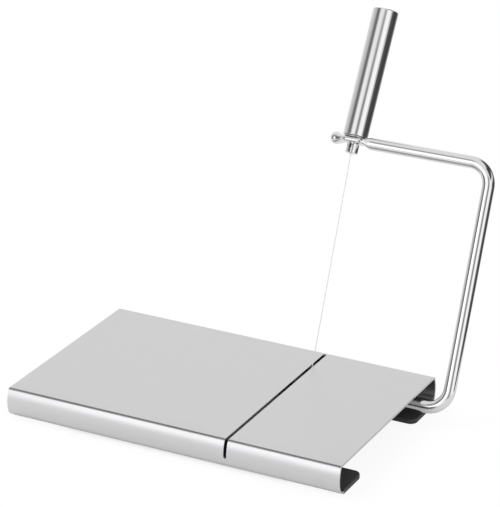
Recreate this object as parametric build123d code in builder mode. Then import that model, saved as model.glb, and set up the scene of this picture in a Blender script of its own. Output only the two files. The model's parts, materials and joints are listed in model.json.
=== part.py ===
"""Wire cheese slicer: a bent steel board with a hinged wire bow and a screw handle.

Lengths are in millimetres and angles in degrees. X runs along the board towards the bow's upright,
-Y is the front, +Z is up. The origin lies on the table, straight under the hinge axis, at mid-length.
"""

import os
from math import cos, radians, sin, sqrt

from build123d import *

os.makedirs("parts", exist_ok=True)

# Board, one bent steel sheet
board_length = 232.0
sheet = 1.2
front_reach = 117.6
rear_reach = 25.0
board_height = 19.9
crease_radius = 2.0
wall_flare = 24.0
wall_tuck = 16.0
heel_radius = 7.0
flange_reach = 25.5
flange_inset = 2.0
flange_corner = 6.0
slot_width = 2.0
slot_rear_margin = 1.8
notch_depth = 12.1

# Rubber foot strips, pushed on the board's return flanges
foot_lip = 1.1
foot_cover = 1.0
foot_nose = 6.0
foot_corner = 8.0
foot_bevel = 0.5

# Wire bow, bent from one round rod
rod_diameter = 8.0
axle_height = 11.6
bow_reach = 157.8
upright_x = 134.6
wire_x = 39.0
bend_radius = 14.0
bow_lean = 22.1
axle_tail = 5.0
axle_chamfer = 0.8

# Flattened eye near the arm's end, which carries the handle, and the ball beyond it
handle_tilt = 8.3
eye_thickness = 3.6
eye_width = 13.0
eye_length = 18.0
eye_corner = 5.5
eye_chamfer = 1.0
neck_reach = 12.5
neck_gap = 0.2
neck_sink = 0.05
ball_length = 3.9
ball_round = 3.8

# Bearing blocks, split so that their nuts nip the axle
bearing_spacing = 66.0
bearing_width = 22.0
bearing_wall = 3.2
bearing_rear_foot = 9.0
bearing_front_foot = 20.0
lower_lip = 4.7
pinch_gap = 1.0
pinch_rise = 2.0
running_clearance = 0.05

# Weld studs under the sheet, two to a block, with a washer and a nut each
stud_diameter = 4.0
stud_setback = 14.0
stud_pitch = 12.0
stud_play = 0.15
stud_overhang = 1.0
stud_washer_diameter = 9.0
stud_washer_thickness = 0.8
nut_flats = 7.0
nut_height = 3.2
nut_chamfer = 0.4
thread_play = 0.02

# Thrust washers and retaining clips on the axle
thrust_washer_diameter = 13.0
thrust_washer_thickness = 1.0
end_play = 0.1
clip_diameter = 12.0
clip_thickness = 0.7
clip_mouth = 5.0
clip_pocket_diameter = 2.0
groove_diameter = 6.0
groove_play = 0.05

# Cutting wire with a bead crimped on each end
wire_diameter = 0.6
wire_hole_diameter = 1.0
bead_diameter = 2.2
bead_chamfer = 0.55
bead_play = 0.2
crimp_play = 0.02
bead_seat_depth = 1.2

# Tension screw, a round head with a flatted shank
screw_head_diameter = 8.0
screw_head_length = 6.2
screw_head_gap = 0.3
screw_head_chamfer = 0.4
shank_diameter = 6.0
shank_flats = 5.0
shank_length = 34.0
shank_play = 0.1
bead_hole_depth = 1.6
bead_offset = 1.2
wire_slit = 0.9

# Handle, a polished tube with a threaded bush and an end cap
handle_length = 84.7
handle_base_diameter = 16.2
handle_top_diameter = 16.8
tube_bore = 14.2
tube_base_chamfer = 0.3
tube_rim_chamfer = 0.5
bush_length = 22.0
bush_chamfer = 0.5
push_play = 0.02
cap_length = 8.0
cap_recess = 0.3
cap_chamfer = 0.4
seat_washer_diameter = 14.0
seat_washer_thickness = 1.0
seat_gap = 0.1

# Heights and places that follow from the sizes above
flange_z = foot_lip
top_z = foot_lip + board_height
under_z = top_z - sheet
foot_top_z = flange_z + sheet + foot_cover
rod_radius = rod_diameter / 2
half_length = board_length / 2
half_depth = (front_reach + rear_reach) / 2
middle_y = (rear_reach - front_reach) / 2

# Wall profile: the wall's radius is the one that brings the sheet down by board_height
crease_turn = 90 - wall_flare
crease_drop = crease_radius * (1 - cos(radians(crease_turn)))
heel_drop = heel_radius * (1 - sin(radians(wall_tuck)))
wall_share = sin(radians(wall_flare)) + sin(radians(wall_tuck))
wall_radius = (board_height - crease_drop - heel_drop) / wall_share
crease_run = crease_radius * sin(radians(crease_turn))
crease_start = half_depth - crease_run / 2
wall_outer = crease_start + crease_run + wall_radius * (1 - cos(radians(wall_flare)))
heel_run = wall_radius * (1 - cos(radians(wall_tuck))) + heel_radius * cos(radians(wall_tuck))
heel_end = wall_outer - heel_run
flange_edge = half_depth - flange_reach
foot_edge = flange_edge - foot_nose

# The bow's own plane and the handle's own frame, at rest
bow_up = Vector(0, sin(radians(bow_lean)), cos(radians(bow_lean)))
axle_middle = Vector(0, 0, axle_height)
bow_plane = Plane(
    origin=axle_middle,
    x_dir=(1, 0, 0),
    z_dir=(0, -cos(radians(bow_lean)), sin(radians(bow_lean))),
)
handle_lean = radians(bow_lean + handle_tilt)
handle_up = Vector(0, sin(handle_lean), cos(handle_lean))
handle_front = Vector(0, -cos(handle_lean), sin(handle_lean))
eye_centre = axle_middle + Vector(wire_x, 0, 0) + bow_up * bow_reach
handle_plane = Plane(origin=eye_centre, x_dir=(1, 0, 0), z_dir=handle_up)

# Places along the handle's axis, from the eye's centre upwards
eye_top = eye_thickness / 2
screw_head_top = -eye_top - screw_head_gap
screw_head_end = screw_head_top - screw_head_length
bead_hole_place = screw_head_top - bead_hole_depth
handle_base = eye_top + seat_washer_thickness + seat_gap
handle_rim = handle_base + handle_length
cap_face = handle_rim - cap_recess

# The necks leave the eye's flat just outside the seat washer
neck_root = seat_washer_diameter / 2 + neck_gap
corner_x = neck_root - eye_length / 2 + eye_corner
neck_root_width = eye_width - 2 * eye_corner + 2 * sqrt(eye_corner**2 - corner_x**2) - 2 * neck_sink
neck_root_thickness = eye_thickness - 2 * neck_sink

# The upper bead's end rests in the round of its hole, beside the slit in the screw's head
bead_radius = bead_diameter / 2
bead_hole_radius = bead_radius + bead_play
bead_end_radius = bead_radius - bead_chamfer
bead_drop = sqrt(bead_hole_radius**2 - bead_end_radius**2) - bead_radius - crimp_play
upper_bead_centre = eye_centre + handle_up * (bead_hole_place - bead_drop) + handle_front * bead_offset
wire_foot = axle_middle + Vector(wire_x, 0, 0)
wire_way = (upper_bead_centre - wire_foot).normalized()
lower_bead_centre = wire_foot - wire_way * (rod_radius - bead_seat_depth + bead_radius)
wire_plane = Plane(origin=wire_foot, x_dir=(1, 0, 0), z_dir=wire_way)

# Places along the axle; the second value points inwards, from each block to the wire
bearings = {
    "left": (wire_x - bearing_spacing / 2, 1),
    "right": (wire_x + bearing_spacing / 2, -1),
}
axle_end = wire_x - bearing_spacing / 2 - bearing_width / 2 - axle_tail

# Heights under the blocks
lip_bottom = axle_height + pinch_rise - pinch_gap / 2 - lower_lip
nut_top = lip_bottom - stud_washer_thickness
nut_bottom = nut_top - nut_height
stud_places = [
    (place + offset, -stud_setback)
    for place, inwards in bearings.values()
    for offset in (-stud_pitch / 2, stud_pitch / 2)
]


def across_axle(x):
    """Plane square to the axle at X, with its own X to the rear and its own Y up."""
    return Plane(origin=(x, 0, axle_height), x_dir=(0, 1, 0), z_dir=(1, 0, 0))


def beside_block(side, near, thickness):
    """Lower X of a piece that stands at a distance from a block's inner face."""
    place, inwards = bearings[side]
    face = place + inwards * bearing_width / 2
    return min(face + inwards * near, face + inwards * (near + thickness))


def write(part, name):
    """Label a finished piece and write it."""
    part.label = name
    export_step(part, f"parts/{name}.step")


# Board: top, creased and bulging walls, heels and return flanges
section_plane = Plane(origin=(-half_length, middle_y, 0), x_dir=(0, 1, 0), z_dir=(1, 0, 0))

with BuildPart() as board:
    with BuildSketch(section_plane):
        with BuildLine():
            Line((0, under_z), (0, top_z))
            outer_top = Line((0, top_z), (-crease_start, top_z))
            outer_crease = JernArc(outer_top @ 1, (-1, 0), crease_radius, crease_turn)
            outer_wall = JernArc(outer_crease @ 1, outer_crease % 1, wall_radius, wall_flare + wall_tuck)
            outer_heel = JernArc(outer_wall @ 1, outer_wall % 1, heel_radius, 90 - wall_tuck)
            outer_flange = Line(outer_heel @ 1, (-flange_edge, flange_z))
            free_edge = Line(outer_flange @ 1, (-flange_edge, flange_z + sheet))
            inner_flange = Line(free_edge @ 1, (-heel_end, flange_z + sheet))
            inner_heel = JernArc(inner_flange @ 1, (-1, 0), heel_radius - sheet, wall_tuck - 90)
            inner_wall = JernArc(inner_heel @ 1, inner_heel % 1, wall_radius - sheet, -wall_flare - wall_tuck)
            inner_crease = JernArc(inner_wall @ 1, inner_wall % 1, crease_radius - sheet, -crease_turn)
            Line(inner_crease @ 1, (0, under_z))
        make_face()
        mirror(about=Plane.YZ)
    extrude(amount=board_length)
    # Flange ends, set back and rounded so that the rubber covers them
    for side in (-1, 1):
        with BuildSketch(Plane.XY.offset(flange_z)):
            with Locations((0, middle_y + side * (heel_end + flange_edge) / 2)):
                Rectangle(board_length, heel_end - flange_edge)
            with Locations((0, middle_y + side * (heel_end + flange_edge + flange_corner) / 2)):
                RectangleRounded(
                    board_length - 2 * flange_inset,
                    heel_end - flange_edge + flange_corner,
                    flange_corner,
                    mode=Mode.SUBTRACT,
                )
        extrude(amount=sheet, mode=Mode.SUBTRACT)
    # Wire slot from near the rear crease out through the front crease
    slot_rear_y = rear_reach - slot_rear_margin
    slot_front_y = middle_y - wall_outer - slot_width
    with BuildSketch(Plane.XY.offset(top_z)):
        with Locations((wire_x, (slot_rear_y + slot_front_y) / 2)):
            SlotOverall(slot_rear_y - slot_front_y, slot_width, rotation=90)
    extrude(amount=-crease_radius, mode=Mode.SUBTRACT)
    # Notch that carries the slot down the front wall to a round floor
    with BuildSketch(Plane.XZ.offset(wall_outer - middle_y)):
        with Locations((wire_x, top_z + (sheet - notch_depth) / 2)):
            SlotOverall(notch_depth + sheet, slot_width, rotation=90)
    extrude(amount=crease_start - wall_outer, mode=Mode.SUBTRACT)
write(board.part, "board")

# Foot strips: rubber sleeves of U section round the return flanges
for strip_name, side in (("front_foot_strip", -1), ("rear_foot_strip", 1)):
    with BuildPart() as foot_strip:
        with BuildSketch() as strip_outline:
            with Locations((0, middle_y + side * (heel_end + foot_edge) / 2)):
                Rectangle(board_length, heel_end - foot_edge)
            fillet(strip_outline.vertices().sort_by(Axis.Y, reverse=side > 0)[-2:], foot_corner)
        extrude(amount=foot_top_z)
        chamfer(foot_strip.faces().sort_by(Axis.Z)[-1].edges(), foot_bevel)
        with BuildSketch(Plane.XY.offset(flange_z)):
            with Locations((0, middle_y + side * (heel_end + flange_edge + flange_corner) / 2)):
                RectangleRounded(
                    board_length - 2 * flange_inset,
                    heel_end - flange_edge + flange_corner,
                    flange_corner,
                )
        extrude(amount=sheet, mode=Mode.SUBTRACT)
    write(foot_strip.part, strip_name)

# Bow: axle, upright and arm bent from one rod, the flattened eye and the ball
arm_end_x = wire_x + neck_reach
ball_end_x = wire_x - neck_reach - ball_length

with BuildPart() as bow_rod:
    with BuildLine(bow_plane) as bow_path:
        FilletPolyline(
            (axle_end, 0),
            (upright_x, 0),
            (upright_x, bow_reach),
            (arm_end_x, bow_reach),
            radius=bend_radius,
        )
    with BuildSketch(across_axle(axle_end)):
        Circle(rod_radius)
    sweep(path=bow_path.wires()[0])
    chamfer(bow_rod.faces().sort_by(Axis.X)[0].edges(), axle_chamfer)
    # Necks from the round rod into the flat eye, one on each side
    for side in (-1, 1):
        neck_plane = Plane(
            origin=eye_centre + Vector(side * neck_root, 0, 0),
            x_dir=-handle_front,
            z_dir=(side, 0, 0),
        )
        with BuildSketch(neck_plane.offset(neck_reach - neck_root)):
            Circle(rod_radius)
        with BuildSketch(neck_plane):
            Ellipse(neck_root_width / 2, neck_root_thickness / 2)
        loft()
    # Ball: what is left of the rod beyond the eye
    with BuildSketch(Plane(origin=eye_centre - Vector(neck_reach, 0, 0), x_dir=-handle_front, z_dir=(-1, 0, 0))):
        Circle(rod_radius)
    extrude(amount=ball_length)
    ball_end = bow_rod.faces().filter_by(Axis.X).sort_by(lambda face: abs(face.center().X - ball_end_x))[0]
    fillet(ball_end.edges(), ball_round)
    # The eye's flat, with its rim broken
    with BuildSketch(handle_plane.offset(-eye_top)):
        RectangleRounded(eye_length, eye_width, eye_corner)
    extrude(amount=eye_thickness)
    eye_faces = bow_rod.faces().filter_by(Axis(eye_centre, handle_up))
    eye_rim = eye_faces.edges().filter_by(GeomType.LINE) + eye_faces.edges().filter_by(GeomType.CIRCLE)
    chamfer(eye_rim, eye_chamfer)
    # Hole for the flatted shank
    with BuildSketch(handle_plane.offset(-eye_thickness)):
        Circle(shank_diameter / 2 + shank_play)
        Rectangle(
            shank_flats + 2 * shank_play,
            shank_diameter + 4 * shank_play,
            mode=Mode.INTERSECT,
        )
    extrude(amount=2 * eye_thickness, mode=Mode.SUBTRACT)
    # Wire hole across the axle, with a seat for the bead on its far side
    with BuildSketch(wire_plane.offset(-rod_diameter)):
        Circle(wire_hole_diameter / 2)
    extrude(amount=2 * rod_diameter, mode=Mode.SUBTRACT)
    with BuildSketch(wire_plane.offset(bead_seat_depth - rod_radius)):
        Circle(bead_hole_radius)
    extrude(amount=-rod_radius, mode=Mode.SUBTRACT)
    # Clip grooves
    groove_width = clip_thickness + 2 * groove_play
    groove_near = thrust_washer_thickness + 2 * end_play - groove_play
    for block_side in bearings:
        with BuildSketch(across_axle(beside_block(block_side, groove_near, groove_width))):
            Circle(rod_diameter)
            Circle(groove_diameter / 2, mode=Mode.SUBTRACT)
        extrude(amount=groove_width, mode=Mode.SUBTRACT)
write(bow_rod.part, "bow_rod")

# Bearing blocks: plastic, hung under the sheet, split from the bore to the front
boss_radius = rod_radius + running_clearance + bearing_wall

for block_side, (place, inwards) in bearings.items():
    with BuildPart() as bearing_block:
        with BuildSketch(across_axle(place - bearing_width / 2)):
            with BuildLine():
                Polyline(
                    (bearing_rear_foot, under_z - axle_height),
                    (-bearing_front_foot, under_z - axle_height),
                    (-bearing_front_foot, lip_bottom - axle_height),
                    (0, lip_bottom - axle_height),
                    (boss_radius, 0),
                    close=True,
                )
            make_face()
            Circle(boss_radius)
            Circle(rod_radius + running_clearance, mode=Mode.SUBTRACT)
            with Locations((-bearing_front_foot / 2, pinch_rise)):
                Rectangle(bearing_front_foot, pinch_gap, mode=Mode.SUBTRACT)
        extrude(amount=bearing_width)
        with BuildSketch(Plane.XY.offset(lip_bottom)):
            with Locations((place, -stud_setback)):
                with GridLocations(stud_pitch, 0, 2, 1):
                    Circle(stud_diameter / 2 + stud_play)
        extrude(amount=under_z - lip_bottom, mode=Mode.SUBTRACT)
    write(bearing_block.part, f"{block_side}_bearing_block")

# Weld studs, washers and nuts
for number, stud_place in enumerate(stud_places, start=1):
    with BuildPart() as bearing_stud:
        with BuildSketch(Plane.XY.offset(nut_bottom - stud_overhang)):
            with Locations(stud_place):
                Circle(stud_diameter / 2)
        extrude(amount=under_z - nut_bottom + stud_overhang)
    write(bearing_stud.part, f"bearing_stud_{number}")

    with BuildPart() as bearing_washer:
        with BuildSketch(Plane.XY.offset(nut_top)):
            with Locations(stud_place):
                Circle(stud_washer_diameter / 2)
                Circle(stud_diameter / 2 + stud_play, mode=Mode.SUBTRACT)
        extrude(amount=stud_washer_thickness)
    write(bearing_washer.part, f"bearing_washer_{number}")

    with BuildPart() as bearing_nut:
        with BuildSketch(Plane.XY.offset(nut_bottom)):
            with Locations(stud_place):
                RegularPolygon(nut_flats / 2, 6, major_radius=False)
        extrude(amount=nut_height)
        chamfer(bearing_nut.faces().sort_by(Axis.Z)[0].edges(), nut_chamfer)
        with BuildSketch(Plane.XY.offset(nut_bottom)):
            with Locations(stud_place):
                Circle(stud_diameter / 2 + thread_play)
        extrude(amount=nut_height, mode=Mode.SUBTRACT)
    write(bearing_nut.part, f"bearing_nut_{number}")

# Thrust washers and retaining clips, one of each inboard of a block
clip_near = thrust_washer_thickness + 2 * end_play

for block_side in bearings:
    with BuildPart() as thrust_washer:
        with BuildSketch(across_axle(beside_block(block_side, end_play, thrust_washer_thickness))):
            Circle(thrust_washer_diameter / 2)
            Circle(rod_radius + running_clearance, mode=Mode.SUBTRACT)
        extrude(amount=thrust_washer_thickness)
    write(thrust_washer.part, f"{block_side}_thrust_washer")

    with BuildPart() as retaining_clip:
        with BuildSketch(across_axle(beside_block(block_side, clip_near, clip_thickness))):
            Circle(clip_diameter / 2)
            Circle(groove_diameter / 2 + running_clearance, mode=Mode.SUBTRACT)
            with PolarLocations(groove_diameter / 2, 2, start_angle=45, angular_range=180):
                Circle(clip_pocket_diameter / 2, mode=Mode.SUBTRACT)
            with Locations((0, -clip_diameter / 2)):
                Rectangle(clip_mouth, clip_diameter, mode=Mode.SUBTRACT)
        extrude(amount=clip_thickness)
    write(retaining_clip.part, f"{block_side}_retaining_clip")

# Cutting wire, taut from bead to bead, and the beads crimped on it
with BuildPart() as cutting_wire:
    with BuildSketch(Plane(origin=lower_bead_centre - wire_way * bead_radius, z_dir=wire_way)):
        Circle(wire_diameter / 2)
    extrude(amount=(upper_bead_centre - lower_bead_centre).length + bead_diameter)
write(cutting_wire.part, "cutting_wire")

for bead_name, bead_centre in (("lower_wire_bead", lower_bead_centre), ("upper_wire_bead", upper_bead_centre)):
    with BuildPart() as wire_bead:
        with BuildSketch(Plane(origin=bead_centre - wire_way * bead_radius, z_dir=wire_way)):
            Circle(bead_radius)
        extrude(amount=bead_diameter)
        chamfer(wire_bead.edges().filter_by(GeomType.CIRCLE), bead_chamfer)
        with BuildSketch(Plane(origin=bead_centre - wire_way * bead_radius, z_dir=wire_way)):
            Circle(wire_diameter / 2 + crimp_play)
        extrude(amount=bead_diameter, mode=Mode.SUBTRACT)
    write(wire_bead.part, bead_name)

# Tension screw: head under the eye with the bead's keyhole, flatted shank up into the handle
keyhole_plane = Plane(origin=eye_centre + handle_up * bead_hole_place, x_dir=(1, 0, 0), z_dir=handle_front)

with BuildPart() as tension_screw:
    with BuildSketch(handle_plane.offset(screw_head_end)):
        Circle(screw_head_diameter / 2)
    extrude(amount=screw_head_length)
    chamfer(tension_screw.edges().filter_by(GeomType.CIRCLE), screw_head_chamfer)
    with BuildSketch(keyhole_plane):
        Circle(bead_hole_radius)
        with Locations((0, (screw_head_end - bead_hole_place) / 2)):
            Rectangle(wire_slit, bead_hole_place - screw_head_end)
    extrude(amount=screw_head_diameter, mode=Mode.SUBTRACT)
    with BuildSketch(handle_plane.offset(screw_head_top)):
        Circle(shank_diameter / 2)
        Rectangle(shank_flats, shank_diameter, mode=Mode.INTERSECT)
    extrude(amount=shank_length)
write(tension_screw.part, "tension_screw")

# Seat washer between the eye and the handle
with BuildPart() as seat_washer:
    with BuildSketch(handle_plane.offset(eye_top)):
        Circle(seat_washer_diameter / 2)
        Circle(shank_diameter / 2 + shank_play, mode=Mode.SUBTRACT)
    extrude(amount=seat_washer_thickness)
write(seat_washer.part, "seat_washer")

# Handle: tube, bush and cap, each turned about the handle's axis
turning_plane = Plane(origin=eye_centre, x_dir=(1, 0, 0), z_dir=handle_front)
handle_axis = Axis(eye_centre, handle_up)

with BuildPart() as handle_tube:
    with BuildSketch(turning_plane):
        with BuildLine():
            Polyline(
                (tube_bore / 2, handle_base),
                (handle_base_diameter / 2, handle_base),
                (handle_top_diameter / 2, handle_rim),
                (tube_bore / 2, handle_rim),
                close=True,
            )
        make_face()
    revolve(axis=handle_axis)
    tube_rims = handle_tube.edges().filter_by(GeomType.CIRCLE).sort_by(SortBy.RADIUS)
    chamfer(tube_rims[-1], tube_rim_chamfer)
    chamfer(tube_rims[-2], tube_base_chamfer)
write(handle_tube.part, "handle_tube")

with BuildPart() as handle_bush:
    with BuildSketch(handle_plane.offset(handle_base)):
        Circle(tube_bore / 2 - push_play)
    extrude(amount=bush_length)
    chamfer(handle_bush.edges().filter_by(GeomType.CIRCLE), bush_chamfer)
    with BuildSketch(handle_plane.offset(handle_base)):
        Circle(shank_diameter / 2 + running_clearance)
    extrude(amount=bush_length, mode=Mode.SUBTRACT)
write(handle_bush.part, "handle_bush")

with BuildPart() as handle_end_cap:
    with BuildSketch(handle_plane.offset(cap_face - cap_length)):
        Circle(tube_bore / 2 - push_play)
    extrude(amount=cap_length)
    chamfer(handle_end_cap.edges().filter_by(GeomType.CIRCLE), cap_chamfer)
write(handle_end_cap.part, "handle_end_cap")
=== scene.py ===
"""Looks of a wire slicer: its pieces, finishes and studio, laid out as an add-on."""

import json
from functools import partial
from itertools import accumulate
from math import atan2, cos, pi, radians, sin, sqrt, tan

import bmesh
import bpy
from bpy.props import FloatProperty, FloatVectorProperty, IntProperty, PointerProperty
from mathutils import Matrix, Vector


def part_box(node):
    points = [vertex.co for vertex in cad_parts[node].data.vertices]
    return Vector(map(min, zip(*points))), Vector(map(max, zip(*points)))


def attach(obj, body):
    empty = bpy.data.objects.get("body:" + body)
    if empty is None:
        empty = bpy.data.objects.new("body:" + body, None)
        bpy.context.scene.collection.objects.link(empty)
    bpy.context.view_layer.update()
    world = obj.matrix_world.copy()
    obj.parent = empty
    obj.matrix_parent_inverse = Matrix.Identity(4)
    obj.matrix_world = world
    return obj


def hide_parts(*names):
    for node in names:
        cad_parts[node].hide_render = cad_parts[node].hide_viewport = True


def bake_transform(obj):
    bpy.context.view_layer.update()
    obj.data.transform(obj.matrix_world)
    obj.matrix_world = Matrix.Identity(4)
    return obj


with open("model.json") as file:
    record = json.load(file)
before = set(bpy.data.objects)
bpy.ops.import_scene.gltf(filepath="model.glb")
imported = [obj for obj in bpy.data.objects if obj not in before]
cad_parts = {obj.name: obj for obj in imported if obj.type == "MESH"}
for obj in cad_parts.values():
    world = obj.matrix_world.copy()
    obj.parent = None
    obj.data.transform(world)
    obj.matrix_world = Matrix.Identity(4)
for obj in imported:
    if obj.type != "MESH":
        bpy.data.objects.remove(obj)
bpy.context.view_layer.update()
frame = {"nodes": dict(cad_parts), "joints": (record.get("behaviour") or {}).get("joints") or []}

bl_info = {
    "name": "Wire slicer",
    "version": (1, 0, 0),
    "blender": (4, 5, 0),
    "location": "View3D > Sidebar > Slicer",
    "description": "Builds the pieces, finishes and studio of a wire slicer round its frame",
    "category": "Object",
}

WELD = 1e-7
SHARP_ANGLE = radians(32)


# Reading the frame

def joint_of(name):
    """The joint of that name in the frame."""
    return next(joint for joint in frame["joints"] if joint["name"] == name)


def low(node):
    """Lowest corner of a node."""
    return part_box(node)[0]


def high(node):
    """Highest corner of a node."""
    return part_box(node)[1]


def middle(node):
    """Middle of a node's box."""
    return (low(node) + high(node)) / 2


def span(node, axis=0):
    """Size of a node's box along an axis."""
    return high(node)[axis] - low(node)[axis]


ALONG, BACK, UP = Vector((1, 0, 0)), Vector((0, 1, 0)), Vector((0, 0, 1))
AXLE = Vector((0, *joint_of("bow_hinge")["pos_m"][1:]))
EYE = Vector(joint_of("handle_turn")["pos_m"])
HANDLE_UP = Vector(joint_of("handle_turn")["axis"]).normalized()
HANDLE_FRONT = ALONG.cross(HANDLE_UP).normalized()
WIRE_X = EYE.x
FOOT = AXLE + ALONG * WIRE_X
BOW_UP = (EYE - FOOT).normalized()
BOW_FRONT = ALONG.cross(BOW_UP).normalized()


# Sizes and colours that a user may change

def number(value, about, **limits):
    """A plain number."""
    return partial(FloatProperty, description=about, default=value, min=0, **limits)


def length(value, about):
    """A length in metres."""
    return number(value, about, unit="LENGTH", precision=5)


def angle(value, about):
    """An angle, given in degrees."""
    return partial(
        FloatProperty, description=about, default=radians(value), subtype="ANGLE", unit="ROTATION"
    )


def amount(value, about):
    """A whole number."""
    return partial(IntProperty, description=about, default=value, min=16)


def colour(value, about):
    """A colour."""
    return partial(
        FloatVectorProperty, description=about, default=value, size=3, min=0, max=1, subtype="COLOR"
    )


def labelled(group):
    """Label each property of a group with its attribute's name."""
    for name, prop in group.__annotations__.items():
        group.__annotations__[name] = prop(name=name.replace("_", " ").capitalize())
    return group


@labelled
class SheetSizes(bpy.types.PropertyGroup):
    """Sizes of the bent board."""

    thickness: length(0.0012, "Thickness of the sheet")
    crease_radius: length(0.002, "Outer radius of the two creases")
    wall_flare: angle(24, "Lean of a wall under its crease")
    wall_tuck: angle(16, "How far a wall turns under at its foot")
    heel_radius: length(0.007, "Outer radius from a wall into its flange")
    flange_reach: length(0.0255, "From the crease line to the flange's free edge")
    flange_inset: length(0.002, "How far a flange's ends stand back")
    flange_corner: length(0.006, "Corner radius of a flange")
    half_depth: length(0.0713, "Half the distance between the crease lines")
    slot_width: length(0.002, "Width of the wire's slot")
    slot_rear: length(0.0232, "Rear end of the slot, behind the hinge")
    notch_floor: length(0.0089, "Height of the slot's end in the front wall")
    edge_round: length(0.00018, "Rounding of the sheet's cut edges")


@labelled
class FootSizes(bpy.types.PropertyGroup):
    """Sizes of the rubber foot strips."""

    corner: length(0.005, "Corner radius of a strip's inner edge")
    heel_corner: length(0.0004, "Corner radius under the sheet's heel")
    edge_round: length(0.0006, "Rounding of the upper and lower edges")
    lip: length(0.0011, "Rubber under the flange")


@labelled
class BowSizes(bpy.types.PropertyGroup):
    """Sizes of the bent rod, its eye and its ball."""

    rod_radius: length(0.004, "Radius of the round rod")
    bend_radius: length(0.014, "Radius of the rod's centre line in its bends")
    axle_round: length(0.0008, "Rounding of the axle's free end")
    neck_reach: length(0.0125, "From the eye's middle to where the rod starts to flatten")
    neck_root: length(0.0072, "From the eye's middle to where the rod is flat")
    root_half_width: length(0.00502, "Half the width where the rod is flat")
    eye_half_width: length(0.0065, "Half the width of the eye")
    eye_half_length: length(0.009, "Half the length of the eye")
    eye_corner: length(0.0055, "Corner radius of the eye's outline")
    eye_half_thickness: length(0.0018, "Half the thickness of the eye")
    ball_length: length(0.0039, "Rod beyond the eye's neck")
    ball_round: length(0.0038, "Rounding of the ball's end")
    groove_radius: length(0.003, "Radius at the bottom of a clip's groove")
    groove_play: length(0.00005, "Play of a clip in its groove")
    wire_hole_radius: length(0.0005, "Radius of the wire's hole across the axle")
    bead_hole_radius: length(0.0013, "Radius of the seats of the wire's beads")
    bead_seat_depth: length(0.0012, "Depth of the lower bead's seat")
    segments: amount(72, "Faces round the rod")


@labelled
class HandleSizes(bpy.types.PropertyGroup):
    """Sizes of the handle, its fittings, the tension screw and the wire."""

    base: length(0.0029, "From the eye's middle to the handle's base")
    rim: length(0.0876, "From the eye's middle to the handle's rim")
    base_radius: length(0.0081, "Radius at the handle's base")
    rim_radius: length(0.0084, "Radius at the handle's rim")
    bore_radius: length(0.0071, "Inner radius of the tube")
    rim_round: length(0.0007, "Rounding of the tube's rim")
    base_round: length(0.0003, "Rounding of the tube's base")
    bore_round: length(0.0001, "Rounding of the edges of the tube's and the seat washer's bores")
    cap_recess: length(0.0003, "From the rim down to the end cap")
    cap_length: length(0.008, "Length of the end cap")
    cap_round: length(0.0004, "Rounding of the end cap")
    push_play: length(0.00002, "Play of the bush and the end cap in the tube")
    bush_length: length(0.022, "Length of the threaded bush")
    bush_hole: length(0.00305, "Radius of the bush's bore")
    bush_round: length(0.0005, "Rounding of the bush's outer edges")
    bush_hole_round: length(0.0003, "Rounding of the bush's bore")
    washer_radius: length(0.007, "Radius of the seat washer")
    washer_thickness: length(0.001, "Thickness of the seat washer")
    washer_hole: length(0.0031, "Radius of the seat washer's hole")
    washer_round: length(0.0002, "Rounding of the seat washer's outer edges")
    head_radius: length(0.004, "Radius of the tension screw's head")
    head_length: length(0.0062, "Length of the tension screw's head")
    head_gap: length(0.0003, "From the eye's flat to the screw's head")
    head_round: length(0.0004, "Rounding of the screw's edges")
    shank_radius: length(0.003, "Radius of the tension screw's shank")
    shank_half_flat: length(0.0025, "Half the width over the shank's flats")
    shank_length: length(0.034, "Length of the shank")
    shank_play: length(0.0001, "Play of the shank in the eye")
    bead_hole_depth: length(0.0016, "From the head's top to the bead's hole")
    wire_slit: length(0.0009, "Width of the slit that lets the wire out")
    bead_offset: length(0.0012, "From the screw's axis to the upper bead")
    bead_radius: length(0.0011, "Radius of a bead on the wire")
    bead_round: length(0.00055, "Rounding of a bead's ends")
    bead_bore_round: length(0.00008, "Rounding of a bead's bore")
    crimp_play: length(0.00002, "Gap between a bead and the wire")
    slack_clearance: length(
        0.004, "How far past the front wall the wire starts to follow the tension screw"
    )
    wire_radius: length(0.0003, "Radius of the cutting wire")
    segments: amount(144, "Faces round a turned piece")


@labelled
class BearingSizes(bpy.types.PropertyGroup):
    """Sizes of the bearing blocks and of what hangs them under the sheet."""

    bore_radius: length(0.00405, "Radius of a block's bore")
    wall: length(0.0032, "Wall round the bore")
    rear_foot: length(0.009, "From the axle back to the block's rear edge")
    front_foot: length(0.02, "From the axle forward to the block's front")
    lip_bottom: length(0.0084, "Height of the block's lower lip")
    pinch_gap: length(0.001, "Width of the block's split")
    pinch_rise: length(0.002, "Height of the split over the axle's middle")
    edge_round: length(0.0004, "Rounding of the moulded edges")
    stud_hole: length(0.00215, "Radius of a stud's hole")
    thread_pitch: length(0.0007, "Pitch of the studs' thread")
    thread_depth: length(0.00035, "Depth of the studs' thread")
    washer_edge: length(0.0001, "Rounding of the washers' edges")


@labelled
class Finishes(bpy.types.PropertyGroup):
    """Colours of the finishes."""

    satin: colour((0.735, 0.735, 0.745), "Brushed sheet")
    polished: colour((0.86, 0.86, 0.865), "Rod, handle and screw")
    plated: colour((0.6, 0.61, 0.64), "Studs, nuts and washers")
    oxide: colour((0.055, 0.052, 0.055), "Retaining clips")
    drawn: colour((0.93, 0.93, 0.94), "Cutting wire")
    brass: colour((0.72, 0.52, 0.24), "Handle bush")
    rubber: colour((0.042, 0.04, 0.043), "Foot strips")
    plastic: colour((0.03, 0.03, 0.032), "Bearing blocks")


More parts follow.
